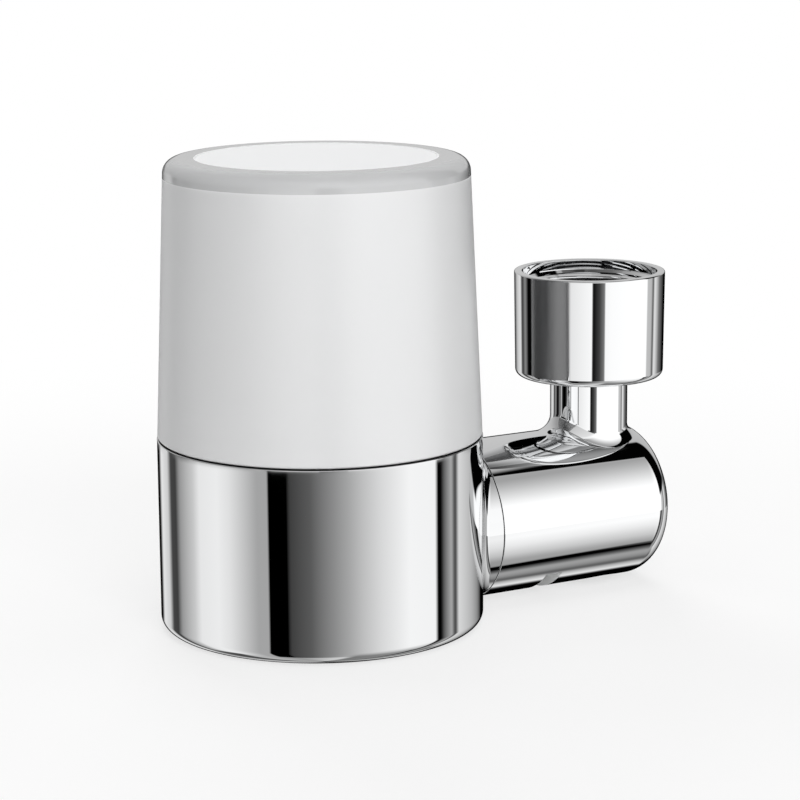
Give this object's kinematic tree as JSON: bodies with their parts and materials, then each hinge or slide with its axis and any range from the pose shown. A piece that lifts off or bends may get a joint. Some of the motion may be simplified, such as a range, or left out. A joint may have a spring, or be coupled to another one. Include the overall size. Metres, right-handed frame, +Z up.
{
  "type": "faucet filter aerator",
  "caption": "Tap-mounted water filter: chrome base and frosted cover over a cartridge, level tube with swivel nut and a rotary diverter lever.",
  "frame": {"origin": "centre of the foot ring under the round base, on the surface it stands on", "axes": "+Z up along the base's axis and out of the nut's mouth, +Y along the level tube towards the tap, -Y the bare front, lever on the -X side"},
  "size_m": [0.07, 0.1209, 0.1012],
  "materials": {
    "chrome": "bright chrome plating on moulded plastic",
    "frosted_cover": "frosted translucent white under a clear glossy skin",
    "white_plastic": "fine satin moulding",
    "rubber": "matt black",
    "steel_mesh": "perforated stainless sheet",
    "ceramic": "ground ceramic",
    "carbon": "pressed carbon granules",
    "fleece": "white non-woven fleece"
  },
  "bodies": {
    "base": {"base_shell": "chrome", "manifold": "white_plastic", "base_plate": "white_plastic", "plate_screws": "steel_mesh", "outlet_nozzle": "chrome", "flow_regulator": "white_plastic", "outlet_screen": "steel_mesh", "coupling_sleeve": "white_plastic", "sleeve_seals": "rubber", "port_disc": "ceramic", "tube_shell": "chrome", "raw_outlet": "white_plastic", "swivel_collar": "white_plastic", "connector_washer": "rubber", "inlet_screen": "steel_mesh", "cartridge_base": "white_plastic", "carbon_block": "carbon", "cartridge_fleece": "fleece", "core_tube": "white_plastic", "cartridge_cap": "white_plastic", "cartridge_seals": "rubber"},
    "diverter": {"diverter_drum": "white_plastic", "drum_seals": "rubber", "diverter_lever": "chrome"},
    "nut": {"connector_nut": "chrome"},
    "seal": {"cover_seal": "rubber"},
    "cover": {"cover": "frosted_cover"}
  },
  "joints": [
    {"name": "lever_turn", "type": "hinge", "parent": "base", "child": "diverter", "pos_m": [0, 0.0516, 0.0178], "axis": [0, -1, 0], "range_deg": [0, 120]},
    {"name": "nut_spin", "type": "hinge", "parent": "base", "child": "nut", "pos_m": [0, 0.069, 0.059], "axis": [0, 0, 1], "continuous": true},
    {"name": "cover_lift", "type": "slide", "parent": "base", "child": "seal", "axis": [0, 0, 1], "range_m": [0, 0.065]},
    {"name": "cover_turn", "type": "hinge", "parent": "seal", "child": "cover", "pos_m": [0, 0, 0.0416], "axis": [0, 0, 1], "range_deg": [0, 45]}
  ]
}
